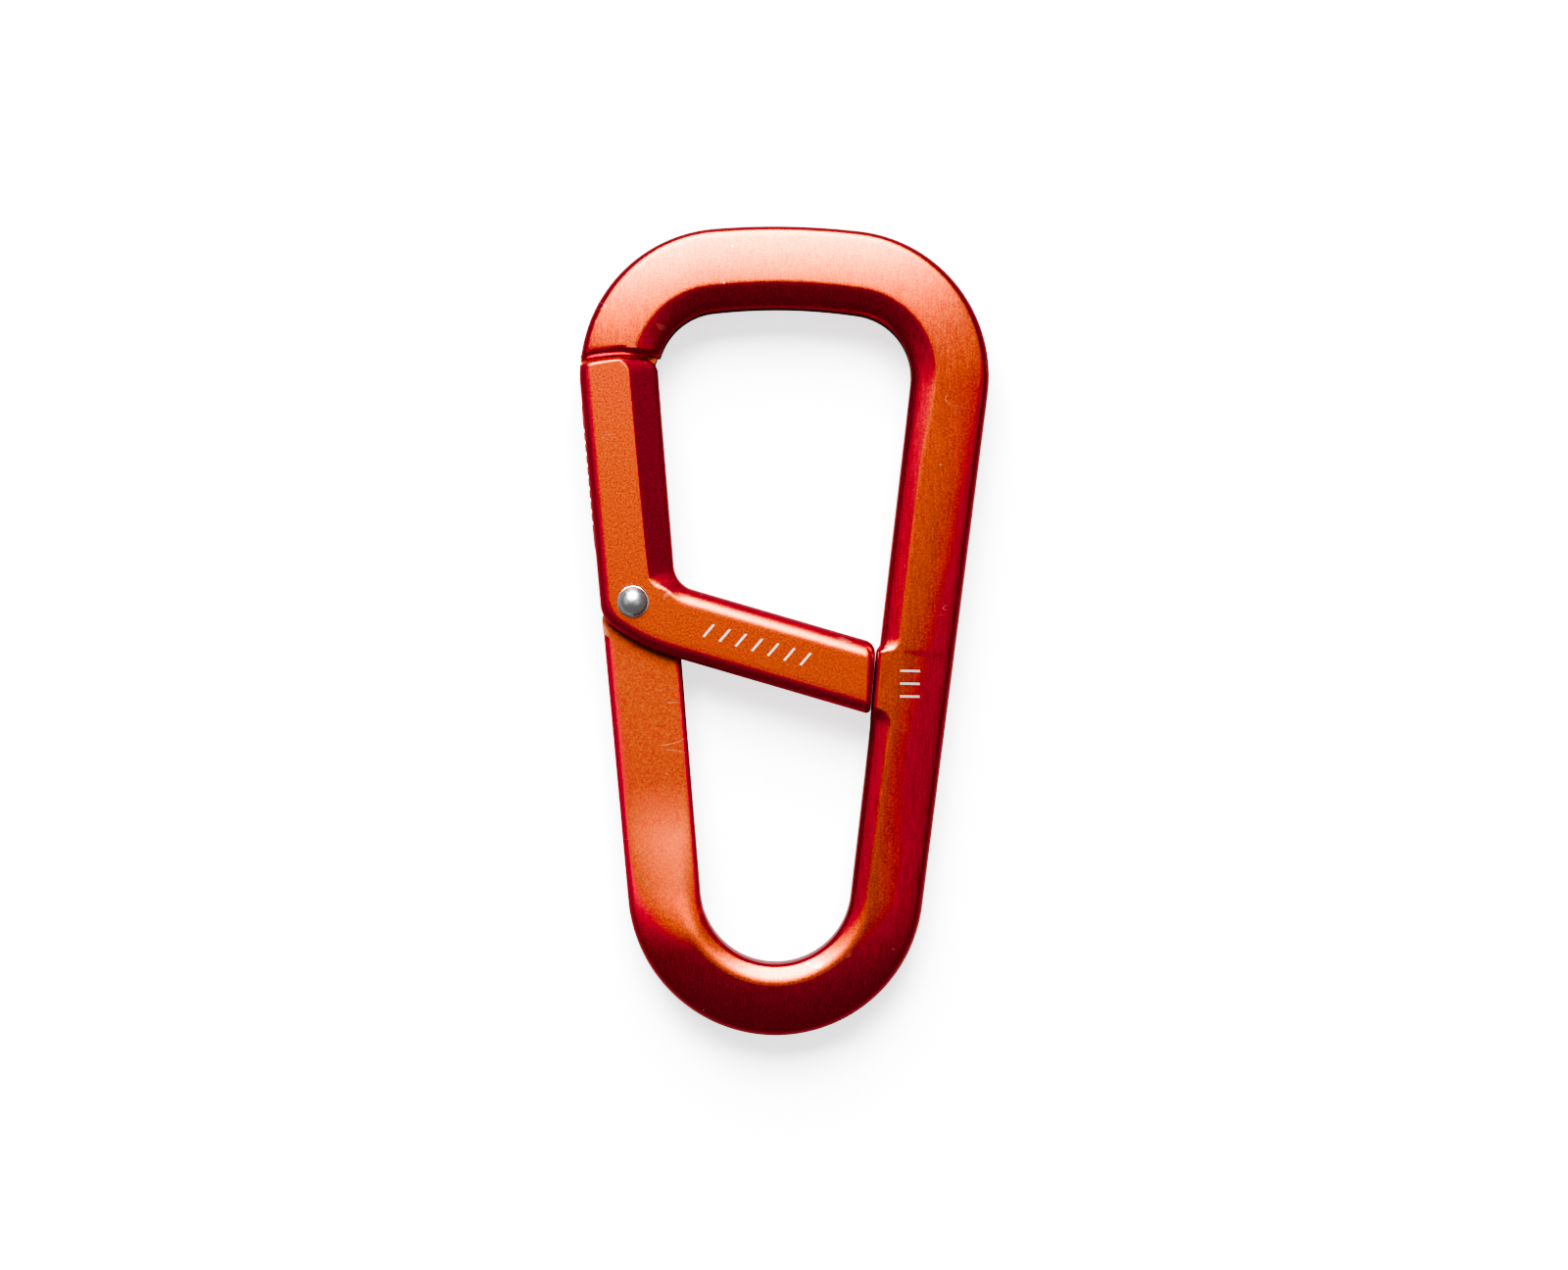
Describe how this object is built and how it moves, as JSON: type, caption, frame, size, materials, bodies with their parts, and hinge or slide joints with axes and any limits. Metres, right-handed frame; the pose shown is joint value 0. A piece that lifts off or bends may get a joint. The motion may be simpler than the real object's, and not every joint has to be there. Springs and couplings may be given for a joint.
{
  "type": "carabiner keyring",
  "caption": "Flat tapered carabiner with an upper and a lower loop, opened together by one L-shaped spring gate on a domed pivot pin.",
  "frame": {"origin": "middle of the outline, on the plane that the back face lies on", "axes": "+X across the part, +Y along it from the narrow bend to the wide crown, +Z through its thickness towards the domed end of the pivot pin"},
  "size_m": [0.0354, 0.07, 0.007],
  "materials": {
    "anodised_frame": "orange anodised, brushed lengthways over a fine bead blast",
    "anodised_gate": "orange anodised, fine bead blast",
    "anodised_grip": "orange anodised, cross ribbed",
    "polished_steel": "polished stainless steel",
    "bush_steel": "turned stainless steel",
    "follower_steel": "turned steel",
    "spring_steel": "drawn spring wire"
  },
  "bodies": {
    "frame": {"frame": "anodised_frame"},
    "gate": {"gate": "anodised_gate", "pivot_pin": "polished_steel", "pin_bush_front": "bush_steel", "pin_bush_rear": "bush_steel", "gate_spring": "spring_steel", "thumb_grip": "anodised_grip"},
    "follower": {"spring_follower": "follower_steel"}
  },
  "joints": [
    {"name": "gate_swing", "type": "hinge", "parent": "frame", "child": "gate", "pos_m": [-0.0127, 0.00231, 0.003], "axis": [0, 0, 1], "range_deg": [-30, 0], "stiffness_Nm_per_rad": 0.0105, "springref_deg": 107.14},
    {"name": "follower_slide", "type": "slide", "parent": "gate", "child": "follower", "axis": [-0.1098, 0.994, 0], "range_m": [0, 0.000838], "deforming": ["gate_spring"]}
  ],
  "couplings": [
    {"joint": "follower_slide", "follows": "gate_swing", "m_per_rad": -0.0016}
  ]
}
